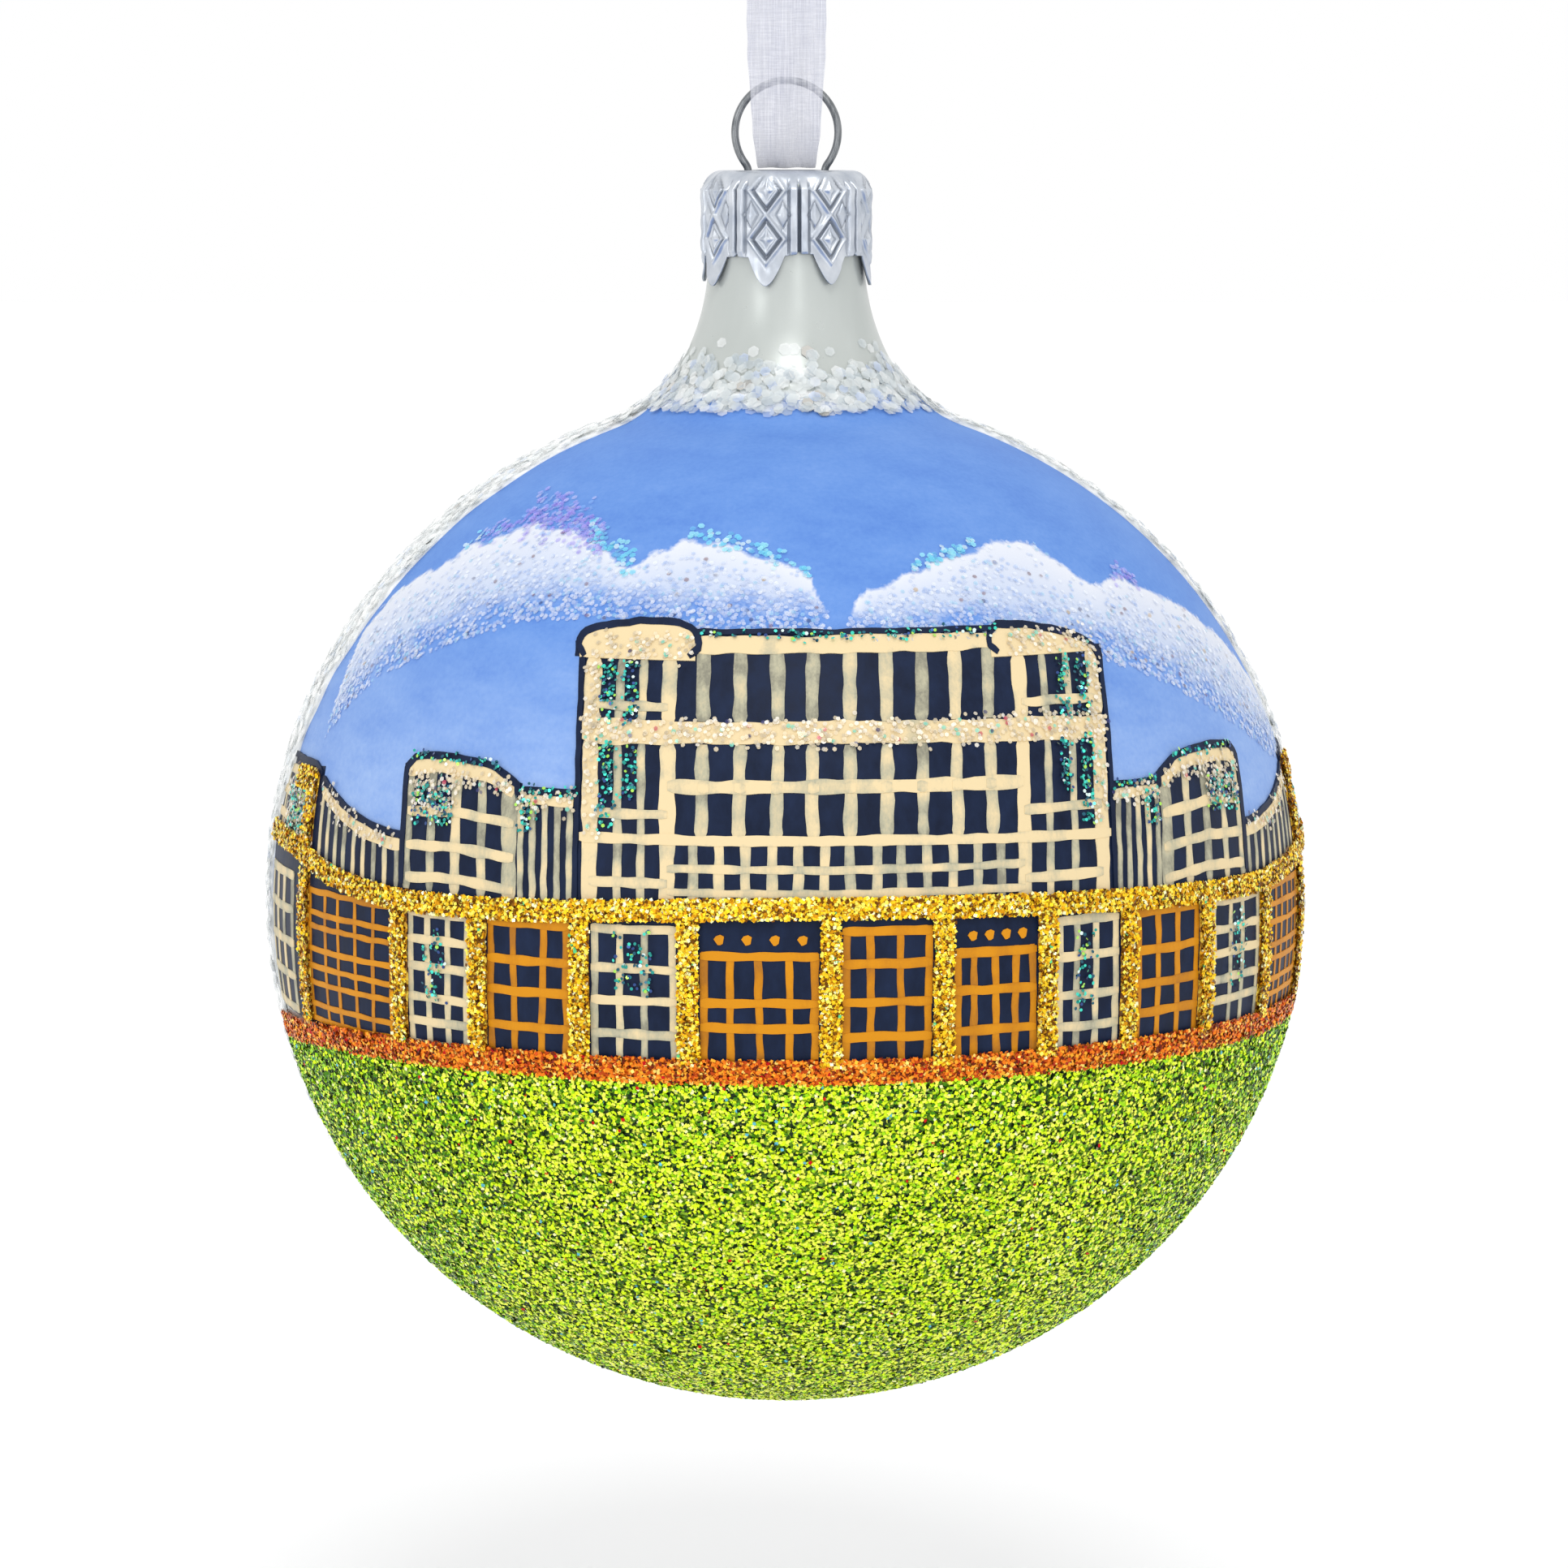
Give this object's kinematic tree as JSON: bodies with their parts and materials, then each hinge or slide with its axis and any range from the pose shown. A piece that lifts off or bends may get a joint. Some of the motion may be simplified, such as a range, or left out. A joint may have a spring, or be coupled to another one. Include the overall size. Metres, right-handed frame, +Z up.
{
  "type": "hanging christmas ball ornament",
  "caption": "Hanging blown glass ball ornament with a painted palace front, glitter lawn, flake-coated back, pressed metal cap, wire ring and sheer ribbon loop.",
  "frame": {"origin": "hanging point, inside the top of the ribbon loop where a hook carries the weight, straight above the ball's centre", "axes": "+Z up along the neck's axis, -Y out of the middle of the painted front, +X to the right as the painted front is seen"},
  "size_m": [0.0841, 0.084, 0.1531],
  "materials": {
    "ribbon": "sheer woven, satin",
    "wire": "bright drawn wire",
    "cap": "embossed, satin silver",
    "glass": "pearl lacquer over silvered glass",
    "paint": "matte brushed paint",
    "green_glitter": "fine glitter",
    "orange_glitter": "fine glitter",
    "gold_glitter": "fine glitter",
    "cloud_glitter": "iridescent glitter",
    "snow_flakes": "pearl hexagonal flakes"
  },
  "bodies": {
    "ribbon": {"ribbon_loop": "ribbon", "ribbon_knot": "ribbon"},
    "hanger": {"wire_hanger": "wire"},
    "cap": {"ornament_cap": "cap"},
    "ball": {"glass_ball": "glass", "painted_scene": "paint", "green_glitter_coat": "green_glitter", "orange_glitter_band": "orange_glitter", "gold_glitter_band": "gold_glitter", "gold_glitter_pillars": "gold_glitter", "cloud_glitter": "cloud_glitter", "snow_back": "snow_flakes", "snow_collar": "snow_flakes"}
  },
  "joints": [
    {"name": "ornament_swing", "type": "hinge", "parent": "ribbon", "child": "hanger", "pos_m": [0, 0, -0.0348], "axis": [1, 0, 0], "range_deg": [-45, 45]},
    {"name": "hanger_pull", "type": "slide", "parent": "hanger", "child": "cap", "axis": [0, 0, -1], "range_m": [0, 0.004]},
    {"name": "cap_pull", "type": "slide", "parent": "cap", "child": "ball", "axis": [0, 0, -1], "range_m": [0, 0.022]}
  ]
}
